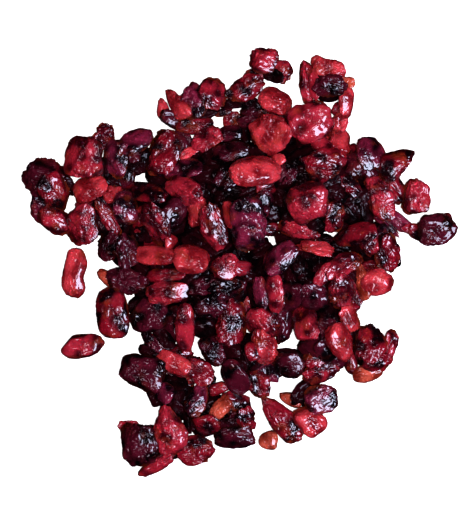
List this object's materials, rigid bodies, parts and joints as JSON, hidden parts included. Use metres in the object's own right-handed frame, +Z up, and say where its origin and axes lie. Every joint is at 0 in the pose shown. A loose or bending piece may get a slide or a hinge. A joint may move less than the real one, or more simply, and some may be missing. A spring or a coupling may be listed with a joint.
{
  "type": "heap of dried cranberries",
  "caption": "Loose, low heap of glossy wrinkled dried cranberries lying bare on a table, with a kidney-shaped berry, an oval berry and a small broken piece apart beside it",
  "frame": {"origin": "on the table, under the middle of the heap and the pieces beside it taken together", "axes": "+Z up; looking straight down, +X is to the right of the picture and +Y to the top of the picture"},
  "size_m": [0.1461, 0.144, 0.0158],
  "materials": {
    "dark_berry": "glossy",
    "red_berry": "glossy",
    "amber_piece": "glossy"
  },
  "bodies": {
    "root": {"heap": "dark_berry", "bean_berry": "red_berry", "oval_berry": "red_berry", "broken_piece": "amber_piece"}
  },
  "joints": []
}
